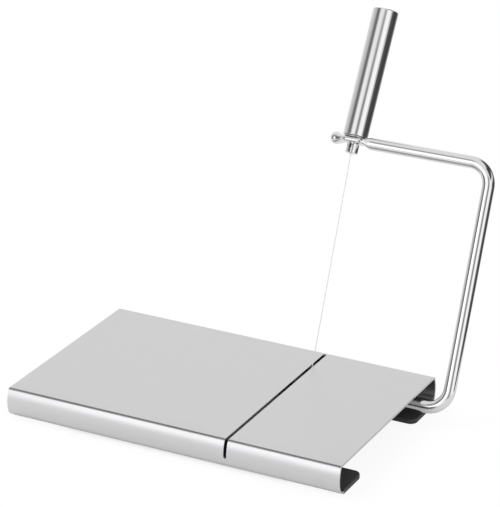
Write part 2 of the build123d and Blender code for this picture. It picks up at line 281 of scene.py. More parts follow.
@labelled
class StageSettings(bpy.types.PropertyGroup):
    """Camera, floor and light."""

    target: partial(
        FloatVectorProperty, description="Point in the middle of the picture",
        default=(0.01763, -0.04635, 0.1133), size=3, subtype="XYZ", unit="LENGTH",
    )
    turn: angle(26.44, "Camera's direction round the object, from the front")
    height: angle(22.39, "Camera's direction over the floor")
    roll: angle(0.8, "Camera's roll")
    distance: length(1.619, "From the camera to the target")
    lens: number(185.02, "Focal length in millimetres")
    floor_radius: length(0.42, "Radius of the round floor")
    floor_offset: length(0.12, "How far the floor's middle lies to the left and to the front")
    floor_gap: length(0.0001, "Air between the feet and the floor")
    floor_shade: number(0.82, "How pale the floor is", max=1)
    fill_light: number(0.78, "Even light from all sides", max=1)
    lamp_power: number(1.4, "Power of the soft lamp in watts")
    lamp_size: length(0.5, "Width of the soft lamp")


GROUPS = {
    "sheet": SheetSizes,
    "foot": FootSizes,
    "bow": BowSizes,
    "handle": HandleSizes,
    "bearing": BearingSizes,
    "finish": Finishes,
    "stage": StageSettings,
}


def sizes(name):
    """One of the scene's groups of sizes and colours."""
    return getattr(bpy.context.scene, "slicer_" + name)


# Making meshes

def linked(name, data):
    """New object in the scene."""
    made = bpy.data.objects.new(name, data)
    bpy.context.scene.collection.objects.link(made)
    return made


def meshed(name, verts, edges=(), faces=()):
    """New mesh from its parts."""
    mesh = bpy.data.meshes.new(name)
    mesh.from_pydata([tuple(vert) for vert in verts], edges, faces)
    return mesh


def new_piece(name, verts, faces):
    """Object with a closed mesh whose doubles are merged and whose faces point outwards."""
    mesh = meshed(name, verts, faces=faces)
    work = bmesh.new()
    work.from_mesh(mesh)
    bmesh.ops.remove_doubles(work, verts=work.verts, dist=WELD)
    bmesh.ops.dissolve_degenerate(work, edges=work.edges, dist=WELD)
    bmesh.ops.recalc_face_normals(work, faces=work.faces)
    work.to_mesh(mesh)
    work.free()
    return linked(name, mesh)


def skin(rings, closed=False, capped=False):
    """Vertices and faces of a skin over rings of points; a ring of one point is a pole."""
    verts, starts, faces = [], [], []
    for ring in rings:
        starts.append(len(verts))
        verts.extend(ring)
    for here in range(len(rings) if closed else len(rings) - 1):
        there = (here + 1) % len(rings)
        a, b = len(rings[here]), len(rings[there])
        for k in range(max(a, b)):
            p, q = starts[here] + k % a, starts[here] + (k + 1) % a
            s, r = starts[there] + k % b, starts[there] + (k + 1) % b
            if a == 1:
                faces.append((p, r, s))
            elif b == 1:
                faces.append((p, q, s))
            else:
                faces.append((p, q, r, s))
    if capped:
        faces += [tuple(range(starts[end], starts[end] + len(rings[end]))) for end in (0, -1)]
    return verts, faces


def around(steps, shift=0):
    """Even turns round a circle, shifted by a part of a step."""
    return [2 * pi * (k + shift) / steps for k in range(steps)]


def quarter_turns(steps):
    """Even turns from nought to a right angle."""
    return [pi / 2 * k / steps for k in range(steps + 1)]


def quarter(radius, steps):
    """Points of a rounded corner, as the distances from its two sides."""
    return [(radius * (1 - sin(turn)), radius * (1 - cos(turn))) for turn in quarter_turns(steps)]


def arc(radius, start, end, steps):
    """Points on an arc about the origin, both ends included."""
    turns = [start + (end - start) * k / steps for k in range(steps + 1)]
    return [(radius * cos(turn), radius * sin(turn)) for turn in turns]


def rounded(corners, closed=True, steps=6):
    """Outline through corners, each a point and its rounding; an open one keeps its two ends."""
    points = []
    count = len(corners)
    for here, (x, y, radius) in enumerate(corners):
        corner = Vector((x, y))
        if radius == 0 or (not closed and here in (0, count - 1)):
            points.append(corner)
            continue
        before = (Vector(corners[here - 1][:2]) - corner).normalized()
        after = (Vector(corners[(here + 1) % count][:2]) - corner).normalized()
        half = before.angle(after) / 2
        centre = corner + (before + after).normalized() * radius / sin(half)
        first, last = (corner + way * radius / tan(half) - centre for way in (before, after))
        begin = atan2(first.y, first.x)
        sweep = (atan2(last.y, last.x) - begin + pi) % (2 * pi) - pi
        for k in range(steps + 1):
            turn = begin + sweep * k / steps
            points.append(centre + Vector((cos(turn), sin(turn))) * radius)
    return points


def ring_profile(hole, outer, start, end, hole_round, outer_round, steps=4):
    """Profile of a turned ring, from its hole out and back."""
    near = [(hole, start, hole_round), (outer, start, outer_round)]
    far = [(outer, end, outer_round), (hole, end, hole_round)]
    return rounded(near + far, steps=steps)


def turned(name, profile, origin, axis, segments):
    """Piece turned from a profile of radius and place along its axis.

    A profile that starts on the axis ends there, and any other one is a closed ring.
    """
    across = axis.orthogonal().normalized()
    aside = axis.cross(across)
    ways = [across * cos(turn) + aside * sin(turn) for turn in around(segments)]
    rings = []
    for radius, place in profile:
        centre = origin + axis * place
        rings.append([centre] if radius < WELD else [centre + way * radius for way in ways])
    return new_piece(name, *skin(rings, closed=profile[0][0] > WELD))


def prism(name, outline, start, end, origin, first, second, third):
    """Straight prism: an outline along first and second, drawn out along third."""
    rings = [
        [origin + first * u + second * v + third * place for u, v in outline]
        for place in (start, end)
    ]
    return new_piece(name, *skin(rings, capped=True))


def settle(piece):
    """Turn a piece's modifiers into its mesh."""
    graph = bpy.context.evaluated_depsgraph_get()
    mesh = bpy.data.meshes.new_from_object(piece.evaluated_get(graph))
    piece.modifiers.clear()
    piece.data = mesh
    mesh.name = piece.name


def cut(piece, tool):
    """Take the tool's solid out of the piece."""
    modifier = piece.modifiers.new("cut", "BOOLEAN")
    modifier.operation = "DIFFERENCE"
    modifier.solver = "EXACT"
    modifier.object = tool
    settle(piece)
    bpy.data.objects.remove(tool)


def drill(piece, radius, start, end, origin, axis, segments=48):
    """Drill a round hole into the piece, from start to end along an axis."""
    profile = [(0, start), (radius, start), (radius, end), (0, end)]
    cut(piece, turned("drill", profile, origin, axis, segments))


def soften(piece, width):
    """Round a piece's sharp edges."""
    modifier = piece.modifiers.new("soften", "BEVEL")
    modifier.width = width
    modifier.segments = 2
    modifier.limit_method = "ANGLE"
    modifier.angle_limit = SHARP_ANGLE
    settle(piece)


def finish_piece(piece, body, slot, *nodes):
    """Shade a piece, give it its slot's material, and hand it to its body in place of its nodes.

    A piece without a body is left unattached.
    """
    piece.data.materials.clear()
    piece.data.materials.append(material_of(slot))
    piece.data.shade_smooth()
    piece.data.set_sharp_from_angle(angle=SHARP_ANGLE)
    if body:
        modifier = piece.modifiers.new("shading", "WEIGHTED_NORMAL")
        modifier.keep_sharp = True
        settle(piece)
        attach(piece, body)
    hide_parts(*nodes)


# Node trees

class Value:
    """A node's output, on which expressions make Math nodes."""

    def __init__(self, nodes, socket):
        self.nodes = nodes
        self.socket = socket

    def other(self, name):
        """Another output of the same node."""
        return Value(self.nodes, self.socket.node.outputs[name])

    def maths(self, kind, *others):
        """Math node of that kind on this value and the others."""
        values = {0: self} | dict(enumerate(others, 1))
        return self.nodes.node("ShaderNodeMath", values, operation=kind)

    def __add__(self, other):
        return self.maths("ADD", other)

    def __sub__(self, other):
        return self.maths("SUBTRACT", other)

    def __rsub__(self, other):
        return self * -1 + other

    def __mul__(self, other):
        return self.maths("MULTIPLY", other)

    __radd__, __rmul__ = __add__, __mul__

    def rising(self, start, end):
        """Nought below start and one above end, with a smooth rise between."""
        values = {"Value": self, "From Min": start, "From Max": end}
        return self.nodes.node("ShaderNodeMapRange", values, interpolation_type="SMOOTHSTEP")

    def within(self, ends, scale):
        """One between the inner two of four ends, falling smoothly to nought at the outer two."""
        first, second, third, fourth = (scale(end) for end in ends)
        return self.rising(first, second) - self.rising(third, fourth)


class Nodes:
    """A node tree, with one method for any node."""

    def __init__(self, tree):
        self.tree = tree

    def node(self, kind, values=None, out=0, **settings):
        """One output of a new node, with its settings and its sockets' values or links.

        A list is linked to one socket, and the stops of a ramp are its places and levels.
        """
        made = self.tree.nodes.new(kind)
        for name, value in settings.items():
            if name == "stops":
                made.color_ramp.interpolation = "EASE"
                for place, level in value[1:-1]:
                    made.color_ramp.elements.new(place)
                for element, (place, level) in zip(made.color_ramp.elements, value):
                    element.color = (level, level, level, 1)
            else:
                setattr(made, name, value)
        for name, value in (values or {}).items():
            for part in value if isinstance(value, list) else [value]:
                if isinstance(part, Value):
                    self.tree.links.new(part.socket, made.inputs[name])
                else:
                    made.inputs[name].default_value = part
        return Value(self, made.outputs[out]) if made.outputs else None


def shaded(base, factor):
    """A colour made darker or lighter."""
    return tuple(min(1, part * factor) for part in base)


class Shader(Nodes):
    """The node tree of a material or world."""

    def __init__(self, owner):
        owner.use_nodes = True
        owner.node_tree.nodes.clear()
        super().__init__(owner.node_tree)
        self.owner = owner

    def place(self, scale=(1, 1, 1), shift=(0, 0, 0)):
        """Object coordinates, scaled and shifted."""
        spot = self.node("ShaderNodeTexCoord", out="Object")
        return self.node("ShaderNodeMapping", {"Vector": spot, "Scale": scale, "Location": shift})

    def noise(self, scale, detail, roughness, *place):
        """Noise from nought to one on object coordinates."""
        values = {"Scale": scale, "Detail": detail, "Roughness": roughness}
        return self.node("ShaderNodeTexNoise", {"Vector": self.place(*place)} | values)

    def mix(self, share, first, second):
        """Colour between two colours, by the second one's share."""
        first, second = (
            end if isinstance(end, Value) else (*end, 1) for end in (first, second)
        )
        values = {"Factor": share, 6: first, 7: second}
        return self.node("ShaderNodeMix", values, 2, data_type="RGBA")

    def matt(self, scale, dark, light):
        """Surface without gloss, clouded between two greys."""
        cloud = self.mix(self.noise(scale, 2, 0.5), (dark,) * 3, (light,) * 3)
        values = {"Base Color": cloud, "Roughness": 1, "Specular IOR Level": 0}
        return self.node("ShaderNodeBsdfPrincipled", values)

    def surface(self, base, dark, light, share, roughness, height, depth, **constants):
        """Surface tinted between two shades of its base colour, and bumped by a height."""
        values = {
            "Base Color": self.mix(share, shaded(base, dark), shaded(base, light)),
            "Roughness": roughness,
            "Normal": self.node("ShaderNodeBump", {"Height": height, "Distance": depth}),
        }
        values |= {name.replace("_", " "): value for name, value in constants.items()}
        self.close(self.node("ShaderNodeBsdfPrincipled", values))

    def close(self, surface, kind="Material"):
        """Lead the surface out of the tree, and give back what the tree belongs to."""
        self.node("ShaderNodeOutput" + kind, {"Surface": surface})
        return self.owner


# Finishes

def brushed(shader, base, grain, roughness, spread, depth, cloud, metallic=1.0):
    """Metal with fine straight grain, faint scratches and slow changes of gloss."""
    fine = shader.noise(1, 3, 0.6, grain)
    coarse = shader.noise(1, 2, 0.5, Vector(grain) / 5)
    slow = shader.noise(22, 3, 0.5)
    scratch = shader.noise(1, 0, 0.5, Vector(grain) * 0.55, (0.3, 0.1, 0.7)).rising(0.735, 0.78)
    mixed = fine * 0.65 + coarse * 0.35
    shader.surface(
        base, dark=1 - cloud, light=1 + cloud, share=mixed * 0.7 + slow * 0.3,
        roughness=mixed * spread + slow * 0.06 + scratch * 0.08 + (roughness - spread / 2 - 0.03),
        height=mixed - scratch * 0.5, depth=depth, Metallic=metallic,
    )


def satin_steel(shader, base):
    """Sheet brushed along its length."""
    brushed(shader, base, (30, 2600, 2600), roughness=0.3, spread=0.12, depth=3.5e-6, cloud=0.035)


def turned_brass(shader, base):
    """Brass with the rings of its turning."""
    brushed(shader, base, (700, 700, 2600), roughness=0.26, spread=0.12, depth=3e-6, cloud=0.06)


def drawn_wire(shader, base):
    """Bright wire with lines along its length."""
    brushed(
        shader, base, (4000, 900, 200), roughness=0.42, spread=0.1, depth=1e-6, cloud=0.03,
        metallic=0.1,
    )


def polished_steel(shader, base):
    """Bright polish with hairlines, nicks and a little haze."""
    slow = shader.noise(60, 3, 0.55)
    hair = shader.noise(350, 3, 0.6)
    nick = shader.noise(900, 1, 0.5).rising(0.74, 0.8)
    shader.surface(
        base, dark=0.97, light=1.02, share=hair * 0.5 + slow * 0.5,
        roughness=slow * 0.05 + hair * 0.04 + nick * 0.1 + 0.035,
        height=hair * 0.7 + nick * 0.3, depth=8e-7, Metallic=1,
    )


def plated_steel(shader, base):
    """Zinc plate, mottled and slightly dull."""
    cells = shader.node("ShaderNodeTexVoronoi", {"Vector": shader.place(), "Scale": 900})
    slow = shader.noise(300, 4, 0.6)
    shader.surface(
        base, dark=0.82, light=1.1, share=slow * 0.7 + cells * 0.3,
        roughness=slow * 0.16 + cells * 0.06 + 0.2,
        height=slow * 0.6 + cells * 0.4, depth=6e-6, Metallic=1,
    )


def black_oxide(shader, base):
    """Spring steel blackened, rubbed bright in places."""
    slow = shader.noise(500, 4, 0.6)
    shader.surface(
        base, dark=1, light=4, share=slow.rising(0.55, 0.75), roughness=slow * 0.2 + 0.3,
        height=slow, depth=5e-6, Metallic=1,
    )


def rubber(shader, base):
    """Charcoal rubber with a moulded grain and a trace of dust."""
    fine = shader.noise(1900, 3, 0.6)
    slow = shader.noise(45, 4, 0.6, (1, 1, 3))
    dust = shader.noise(700, 2, 0.7).rising(0.62, 0.8)
    shader.surface(
        base, dark=0.85, light=2.3, share=slow * 0.35 + fine * 0.25 + dust * 0.25,
        roughness=fine * 0.14 + slow * 0.14 + dust * 0.1 + 0.36,
        height=fine * 0.7 + slow * 0.3, depth=4e-5, Specular_IOR_Level=0.45,
    )


def moulded_plastic(shader, base):
    """Black plastic with a sparked mould's fine texture."""
    fine = shader.noise(2600, 2, 0.7)
    slow = shader.noise(90, 3, 0.5)
    shader.surface(
        base, dark=0.8, light=1.5, share=slow * 0.6 + fine * 0.4,
        roughness=fine * 0.18 + slow * 0.12 + 0.34, height=fine, depth=3e-5,
    )


# For each slot, its material's name, its colour's name and what makes it
FINISHES = {
    "satin_steel": ("satin_steel", "satin", satin_steel),
    "bright_steel": ("polished_steel", "polished", polished_steel),
    "plated_steel": ("plated_steel", "plated", plated_steel),
    "spring_steel": ("black_oxide", "oxide", black_oxide),
    "wire_steel": ("drawn_wire", "drawn", drawn_wire),
    "brass": ("turned_brass", "brass", turned_brass),
    "black_rubber": ("black_rubber", "rubber", rubber),
    "black_plastic": ("black_plastic", "plastic", moulded_plastic),
}
made_materials = {}


def material_of(slot):
    """The material of a slot, made when it is first asked for."""
    if slot not in made_materials:
        name, base, maker = FINISHES[slot]
        made_materials[slot] = bpy.data.materials.new(name)
        maker(Shader(made_materials[slot]), getattr(sizes("finish"), base))
    return made_materials[slot]


# Board

class SheetPath:
    """The sheet's outer line in its cross section, from the rear flange's edge to the front one's.

    Its stretches are each a radius or none, a length and a number of steps.
    """

    def __init__(self):
        s = sizes("sheet")
        lowest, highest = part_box("board")
        self.middle_y = (lowest.y + highest.y) / 2
        outer = (highest.y - lowest.y) / 2
        crease_turn = pi / 2 - s.wall_flare
        crease_drop = s.crease_radius * (1 - cos(crease_turn))
        heel_drop = s.heel_radius * (1 - sin(s.wall_tuck))
        wall_drop = highest.z - lowest.z - crease_drop - heel_drop
        self.wall_radius = wall_drop / (sin(s.wall_flare) + sin(s.wall_tuck))
        crease_run = s.crease_radius * sin(crease_turn)
        self.crease_start = outer - crease_run - self.wall_radius * (1 - cos(s.wall_flare))
        wall_run = self.wall_radius * (1 - cos(s.wall_tuck))
        self.heel_end = outer - (wall_run + s.heel_radius * cos(s.wall_tuck))
        self.flange_edge = s.half_depth - s.flange_reach
        self.flange = self.heel_end - self.flange_edge
        flange = (None, self.flange, 6)
        heel = (s.heel_radius, s.heel_radius * (pi / 2 - s.wall_tuck), 18)
        wall = (self.wall_radius, self.wall_radius * (s.wall_flare + s.wall_tuck), 26)
        crease = (s.crease_radius, s.crease_radius * crease_turn, 20)
        top = (None, 2 * self.crease_start, 1)
        self.stretches = [flange, heel, wall, crease, top, crease, wall, heel, flange]
        self.start = (self.middle_y + self.flange_edge, lowest.z)
        ends = list(accumulate(run for radius, run, steps in self.stretches))
        self.top_start, self.front_wall_start, self.length = ends[3], ends[5], ends[-1]

    def at(self, place):
        """Point and heading at a place along the line."""
        y, z = self.start
        heading = 0.0
        for radius, run, steps in self.stretches:
            part = min(place, run)
            if radius is None:
                y += part * cos(heading)
                z += part * sin(heading)
            else:
                turn = part / radius
                y += radius * (sin(heading + turn) - sin(heading))
                z -= radius * (cos(heading + turn) - cos(heading))
                heading += turn
            place -= part
            if place <= 0:
                break
        return y, z, heading

    def point(self, x, place, depth):
        """Point at X, at a place along the line and a depth into the sheet."""
        y, z, heading = self.at(place)
        return Vector((x, y - depth * sin(heading), z + depth * cos(heading)))

    def rows(self):
        """Places along the line at which the stretches need a row of the mesh."""
        places = [0.0]
        for radius, run, steps in self.stretches:
            start = places[-1]
            places += [start + run * (k + 1) / steps for k in range(steps)]
        return places


def slot_places(path):
    """Where the slot starts and ends along the sheet's line."""
    s = sizes("sheet")
    rear = path.top_start + path.middle_y + path.crease_start - s.slot_rear
    near = path.front_wall_start
    far = near + path.wall_radius * s.wall_flare * 2
    for _ in range(40):
        half = (near + far) / 2
        if path.at(half)[1] > s.notch_floor:
            near = half
        else:
            far = half
    return rear, near


def dip(radius, inside):
    """How far a round end or corner stands back at a distance inside it."""
    return radius - sqrt(radius**2 - (radius - inside) ** 2) if inside < radius else 0.0


def sheet_half(path, side, rows, rear, front):
    """Rings of half the sheet, from its free end to the slot's line, and whether each is open."""
    s = sizes("sheet")

    def edge(radius):
        """Insets and depths over a cut edge of the sheet, from its outer face to its inner one."""
        near = quarter(radius, 3)
        return near + [(inset, s.thickness - depth) for inset, depth in reversed(near)]

    rings, open_rows = [], []
    for place in rows:
        reach = high("board").x
        from_end = min(place, path.length - place)
        if from_end < path.flange - WELD:
            reach -= s.flange_inset + dip(s.flange_corner, from_end)
        inside = min(place - rear, front - place)
        half = s.slot_width / 2 - dip(s.slot_width / 2, inside) if inside > 0 else 0.0
        soft = min(s.edge_round, half / 2)
        ring = [(side * (reach - inset), depth) for inset, depth in edge(s.edge_round)]
        ring += [(WIRE_X + side * (half + inset), depth) for inset, depth in reversed(edge(soft))]
        rings.append([path.point(x, place, depth) for x, depth in ring])
        open_rows.append(half > 0)
    return rings, open_rows


def board_mesh():
    """Vertices and faces of the bent sheet with its slot."""
    path = SheetPath()
    rear, front = slot_places(path)
    places = path.rows()
    for inset, depth in quarter(sizes("sheet").slot_width / 2, 10):
        places += [rear + depth, front - depth]
    beside = 1e-6
    places += [path.flange - beside, path.length - path.flange + beside]
    places.sort()
    rows = [places[0]] + [far for near, far in zip(places, places[1:]) if far - near > WELD]
    verts, faces = [], []
    for side in (-1, 1):
        rings, open_rows = sheet_half(path, side, rows, rear, front)
        count = len(rings[0])
        start = len(verts)
        last = start + (len(rings) - 1) * count
        for ring in rings:
            verts.extend(ring)
        seam = range(count // 2, count - 1)
        for here in range(len(rings) - 1):
            walled = open_rows[here] or open_rows[here + 1]
            for k in range(count):
                if walled or k not in seam:
                    a, b = (start + here * count + part % count for part in (k, k + 1))
                    faces.append((a, b, b + count, a + count))
        faces += [tuple(range(end, end + count)) for end in (start, last)]
    return verts, faces


class SLICER_OT_board(bpy.types.Operator):
    """Bend the board from one sheet, with its slot."""

    bl_idname = "slicer.board"
    bl_label = "Board"

    def execute(self, context):
        finish_piece(new_piece("bent_board", *board_mesh()), "base", "satin_steel", "board")
        return {"FINISHED"}


# Foot strips

def strip_outline(node, inner, inset):
    """Outline of a foot strip, drawn in by an inset; inner is the side of its rounded corners."""
    f = sizes("foot")
    lowest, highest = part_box(node)
    near, far = (highest.y, lowest.y) if inner > 0 else (lowest.y, highest.y)
    near -= inner * inset
    far += inner * inset
    half = highest.x - inset
    corner, heel = max(f.corner - inset, WELD), max(f.heel_corner - inset, WELD * 10)
    corners = [(-half, far, heel), (half, far, heel), (half, near, corner), (-half, near, corner)]
    return rounded(corners, steps=14)


class SLICER_OT_feet(bpy.types.Operator):
    """Mould the two rubber strips that sleeve the board's flanges."""

    bl_idname = "slicer.feet"
    bl_label = "Foot strips"

    def execute(self, context):
        f, s = sizes("foot"), sizes("sheet")
        path = SheetPath()
        for node, inner in (("front_foot_strip", 1), ("rear_foot_strip", -1)):
            lowest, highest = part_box(node)
            levels = [(inset, lowest.z + rise) for inset, rise in quarter(f.edge_round, 5)]
            levels += [(inset, highest.z - z + lowest.z) for inset, z in reversed(levels)]
            rings = [
                [Vector((*point, z)) for point in strip_outline(node, inner, inset)]
                for inset, z in levels
            ]
            piece = new_piece(node + "_rubber", *skin(rings, capped=True))
            half = high("board").x - s.flange_inset
            heel = path.middle_y - inner * (path.heel_end + s.flange_corner)
            edge = path.middle_y - inner * path.flange_edge
            corners = [(-half, heel, 0), (half, heel, 0)]
            corners += [(half, edge, s.flange_corner), (-half, edge, s.flange_corner)]
            outline = rounded(corners, steps=10)
            bottom = lowest.z + f.lip
            top = bottom + s.thickness
            cut(piece, prism("flange_room", outline, bottom, top, Vector(), ALONG, BACK, UP))
            finish_piece(piece, "base", "black_rubber", node)
        return {"FINISHED"}


# Bow

FLATTENING = 2.6
BEND_STEPS = 26
ARM_STEPS = 8
NECK_STEPS = 72


def flattened(half_width, half_height, segments):
    """Section between a circle and a flat bar with round edges."""
    spare = half_width - half_height
    points = []
    for turn in around(segments, 0.5):
        slide = max(-1.0, min(1.0, FLATTENING * cos(turn)))
        points.append((spare * slide + half_height * cos(turn), half_height * sin(turn)))
    return points


def eye_half_width(offset):
    """Half the eye's width at a distance from its middle."""
    b = sizes("bow")
    return b.eye_half_width - dip(b.eye_corner, max(b.eye_half_length - offset, 0))


def neck_section(offset):
    """Half width and half thickness of the flattened rod at a distance from the eye's middle."""
    b = sizes("bow")
    way = max(0.0, min(1.0, (b.neck_reach - offset) / (b.neck_reach - b.neck_root)))
    flat = way * way * (3 - 2 * way)
    width = b.rod_radius + (b.root_half_width - b.rod_radius) * flat
    height = b.rod_radius + (b.eye_half_thickness - b.rod_radius) * flat
    if offset < b.neck_root:
        width = max(width, eye_half_width(offset))
    return width, height


def rod_stations():
    """Stations along the rod: centre, two directions across, half width and half height."""
    b = sizes("bow")
    radius, bend = b.rod_radius, b.bend_radius
    start, upright = low("bow_rod").x, high("bow_rod").x - radius
    reach = (EYE - FOOT).length
    full, slim = (radius,) * 2, (b.groove_radius,) * 2
    stations = []

    def add(x, height, heading, size, tilt=0.0):
        """Station in the bow's plane, tilted towards the handle by a share."""
        front = BOW_FRONT * (1 - tilt) + HANDLE_FRONT * tilt
        outward = (ALONG * sin(heading) - BOW_UP * cos(heading)) * (1 - tilt) + HANDLE_UP * tilt
        centre = AXLE + ALONG * x + BOW_UP * height
        stations.append((centre, front.normalized(), outward.normalized(), *size))

    for inset, depth in quarter(b.axle_round, 6):
        add(start + depth, 0, 0, (radius - inset,) * 2)
    for clip in sorted(("left_retaining_clip", "right_retaining_clip"), key=lambda c: low(c).x):
        near, far = low(clip).x - b.groove_play, high(clip).x + b.groove_play
        for place, size in ((near, full), (near, slim), (far, slim), (far, full)):
            add(place, 0, 0, size)
    for turn in quarter_turns(BEND_STEPS):
        add(upright - bend + bend * sin(turn), bend * (1 - cos(turn)), turn, full)
    for turn in quarter_turns(BEND_STEPS):
        side, height = upright - bend + bend * cos(turn), reach - bend + bend * sin(turn)
        add(side, height, pi / 2 + turn, full)
    arm_start, arm_end = upright - bend, WIRE_X + b.neck_reach
    for k in range(1, ARM_STEPS + 1):
        part = k / ARM_STEPS
        add(arm_start + (arm_end - arm_start) * part, reach, pi, full, part)
    for k in range(1, NECK_STEPS + 1):
        offset = b.neck_reach * (1 - 2 * k / NECK_STEPS)
        add(WIRE_X + offset, reach, pi, neck_section(abs(offset)), 1)
    end = WIRE_X - b.neck_reach - b.ball_length
    for inset, depth in quarter(b.ball_round, 16):
        add(end + inset, reach, pi, (radius - depth,) * 2, 1)
    return stations


def wire_ends():
    """Middles of the lower and the upper bead, and the way from the one to the other."""
    b, h = sizes("bow"), sizes("handle")
    head_top = -b.eye_half_thickness - h.head_gap
    end_radius = h.bead_radius - h.bead_round
    drop = sqrt(b.bead_hole_radius**2 - end_radius**2) - h.bead_radius - h.crimp_play
    height = head_top - h.bead_hole_depth - drop
    upper = EYE + HANDLE_UP * height + HANDLE_FRONT * h.bead_offset
    way = (upper - FOOT).normalized()
    lower = FOOT - way * (b.rod_radius - b.bead_seat_depth + h.bead_radius)
    return lower, upper, way


def flatted_circle(radius, half_flat, segments):
    """Section of a round shank with two flats."""
    return [
        (max(-half_flat, min(half_flat, radius * cos(turn))), radius * sin(turn))
        for turn in around(segments, 0.5)
    ]


class SLICER_OT_bow(bpy.types.Operator):
    """Bend the rod, flatten its eye and drill it for the wire and the screw."""

    bl_idname = "slicer.bow"
    bl_label = "Bow"

    def execute(self, context):
        b, h = sizes("bow"), sizes("handle")
        rings = [
            [centre + front * u + outward * v for u, v in flattened(*size, b.segments)]
            for centre, front, outward, *size in rod_stations()
        ]
        piece = new_piece("bow", *skin(rings, capped=True))
        way = wire_ends()[2]
        drill(piece, b.wire_hole_radius, -2 * b.rod_radius, 2 * b.rod_radius, FOOT, way, 32)
        seat_top = b.bead_seat_depth - b.rod_radius
        drill(piece, b.bead_hole_radius, seat_top - b.rod_radius, seat_top, FOOT, way)
        radius, half_flat = h.shank_radius + h.shank_play, h.shank_half_flat + h.shank_play
        outline = flatted_circle(radius, half_flat, 64)
        deep = 2 * b.eye_half_thickness
        cut(piece, prism("shank_room", outline, -deep, deep, EYE, ALONG, HANDLE_FRONT, HANDLE_UP))
        finish_piece(piece, "bow", "bright_steel", "bow_rod")
        return {"FINISHED"}


class SLICER_OT_axle_fittings(bpy.types.Operator):
    """Turn the thrust washers and finish the retaining clips."""

    bl_idname = "slicer.axle_fittings"
    bl_label = "Axle fittings"

    def execute(self, context):
        s = sizes("bearing")
        edge = s.washer_edge
        for side in ("left", "right"):
            node = side + "_thrust_washer"
            start, end = low(node).x, high(node).x
            profile = ring_profile(s.bore_radius, span(node, 2) / 2, start, end, edge, edge)
            piece = turned(node + "_turned", profile, AXLE, ALONG, 96)
            finish_piece(piece, "bow", "plated_steel", node)
            clip = frame["nodes"][side + "_retaining_clip"]
            clip.data.materials.clear()
            clip.data.materials.append(material_of("spring_steel"))
        return {"FINISHED"}


# Pieces that a geometry tree grows

class Growth(Nodes):
    """A geometry tree with named inputs, which grows a mesh on points."""

    def __init__(self, name, inputs):
        super().__init__(bpy.data.node_groups.new(name, "GeometryNodeTree"))
        sides = self.tree.interface
        for side in ("INPUT", "OUTPUT"):
            sides.new_socket("Geometry", in_out=side, socket_type="NodeSocketGeometry")
        for label, value in inputs.items():
            kind = "NodeSocket" + type(value).__name__.capitalize()
            sides.new_socket(label, in_out="INPUT", socket_type=kind).default_value = value
        self.start = self.tree.nodes.new("NodeGroupInput")

    def given(self, label="Geometry"):
        """A named input."""
        return Value(self, self.start.outputs[label])

    def on_points(self, instance):
        """The instance on each of the given points."""
        values = {"Points": self.given(), "Instance": instance}
        return self.node("GeometryNodeInstanceOnPoints", values)

    def bar(self, sides, radius, height, fill="NGON", **more):
        """Straight bar about the origin."""
        values = {"Vertices": sides, "Radius": radius, "Depth": height} | more
        return self.node("GeometryNodeMeshCylinder", values, fill_type=fill)

    def finish(self, geometry, material):
        """Realize the instances, set the material and close the tree."""
        whole = self.node("GeometryNodeRealizeInstances", {"Geometry": geometry})
        values = {"Geometry": whole, "Material": material}
        self.node("NodeGroupOutput", {0: self.node("GeometryNodeSetMaterial", values)})


def grown(name, points, slot, shape, inputs):
    """Plain mesh of a shape that is grown on points, with the shape's named inputs."""
    growth = Growth(name, inputs)
    growth.finish(shape(growth), material_of(slot))
    piece = linked(name, meshed(name, points, [(k, k + 1) for k in range(len(points) - 1)]))
    modifier = piece.modifiers.new(name, "NODES")
    modifier.node_group = growth.tree
    for item in growth.tree.interface.items_tree:
        if item.in_out == "INPUT" and item.name in inputs:
            modifier[item.identifier] = inputs[item.name]
    settle(piece)
    return piece


def wire_shape(growth):
    """Round wire along a line of points."""
    line = growth.node("GeometryNodeMeshToCurve", {"Mesh": growth.given()})
    sizing = {"Resolution": growth.given("Sides"), "Radius": growth.given("Radius")}
    circle = growth.node("GeometryNodeCurvePrimitiveCircle", sizing)
    values = {"Curve": line, "Profile Curve": circle, "Fill Caps": True}
    return growth.node("GeometryNodeCurveToMesh", values)


def stud_shape(growth):
    """Threaded stud that stands on each point."""
    radius, height, pitch = (growth.given(label) for label in ("Radius", "Height", "Pitch"))
    parts = {"Side Segments": 160, "Fill Segments": 1}
    bar = growth.bar(36, radius, height, "TRIANGLE_FAN", **parts)
    x = growth.node("ShaderNodeSeparateXYZ", {0: growth.node("GeometryNodeInputPosition")})
    y, z = x.other("Y"), x.other("Z")
    rise = z + height * 0.5
    pitches = rise.maths("DIVIDE", pitch)
    phase = pitches - y.maths("ARCTAN2", x).maths("DIVIDE", 2 * pi)
    groove = 1 - (phase.maths("FRACT") - 0.5).maths("ABSOLUTE") * 2
    lead = 1 - pitches.maths("MINIMUM", 1)
    threaded = rise.maths("LESS_THAN", growth.given("Threaded"))
    depth = groove.maths("MAXIMUM", lead) * threaded * growth.given("Depth")
    scale = 1 - depth.maths("DIVIDE", radius)
    place = growth.node("ShaderNodeCombineXYZ", {0: x * scale, 1: y * scale, 2: rise})
    shaped = growth.node("GeometryNodeSetPosition", {"Geometry": bar, "Position": place})
    return growth.on_points(shaped)


def washer_shape(growth):
    """Washer about each point."""
    inner, outer = growth.given("Inner"), growth.given("Outer")
    sizing = {"Resolution": 64, "Radius": (inner + outer) * 0.5}
    circle = growth.node("GeometryNodeCurvePrimitiveCircle", sizing)
    sizing = {"Width": outer - inner, "Height": growth.given("Height")}
    section = growth.node("GeometryNodeCurvePrimitiveQuadrilateral", sizing)
    rounding = {"Radius": growth.given("Edge"), "Count": 3, "Limit Radius": True}
    softened = growth.node("GeometryNodeFilletCurve", {"Curve": section} | rounding, mode="POLY")
    values = {"Curve": circle, "Profile Curve": softened}
    return growth.on_points(growth.node("GeometryNodeCurveToMesh", values))


